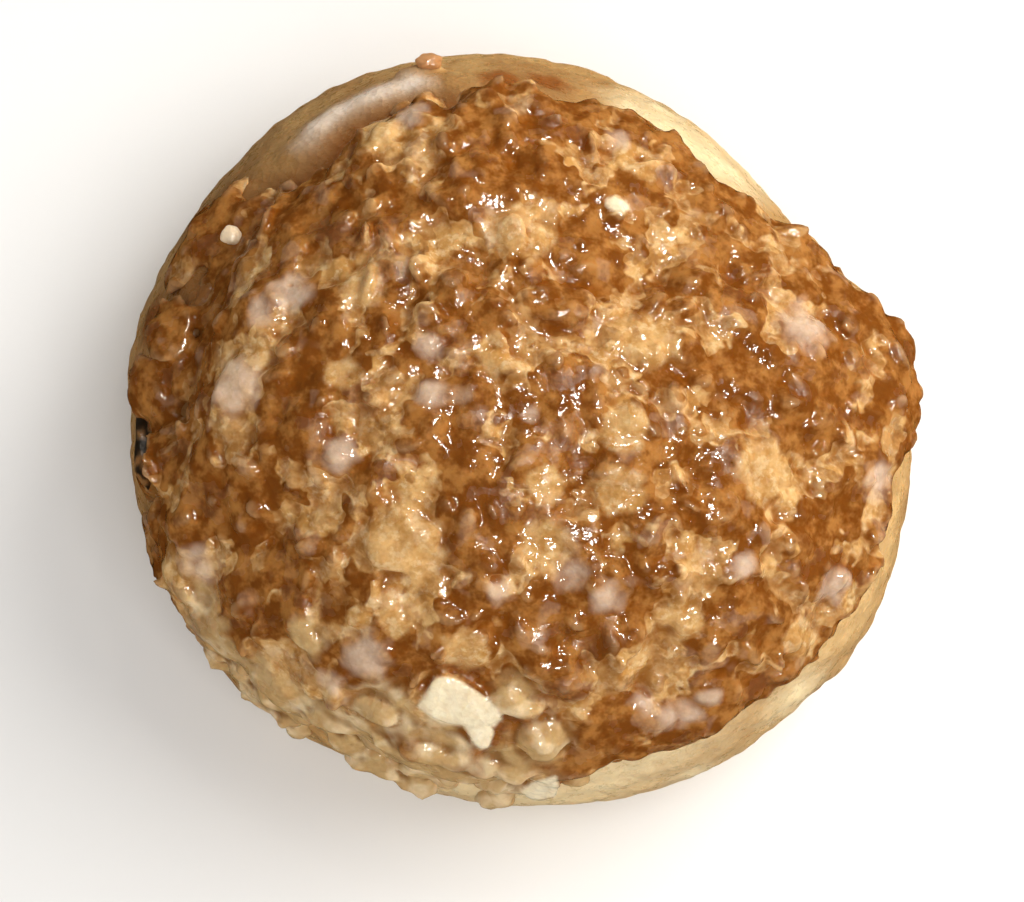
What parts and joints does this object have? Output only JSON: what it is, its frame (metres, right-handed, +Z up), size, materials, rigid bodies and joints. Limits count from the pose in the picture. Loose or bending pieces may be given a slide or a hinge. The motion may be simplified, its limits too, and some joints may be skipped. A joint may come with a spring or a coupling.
{
  "type": "cookie cream puff",
  "caption": "Whole round cream puff: a domed choux bun under a lumpy, glossy caramel-brown cookie crust.",
  "frame": {"origin": "middle of the flat base, on the surface that the puff stands on", "axes": "+Z up through the dome, +X to the right of the usual view, which looks along +Y"},
  "size_m": [0.0898, 0.0886, 0.052],
  "materials": {
    "baked_choux": "soft satin, golden baked pastry",
    "glazed_crust": "wet gloss, caramelised sugar crust"
  },
  "bodies": {
    "root": {"choux_bun": "baked_choux", "cookie_crust": "glazed_crust"}
  },
  "joints": []
}
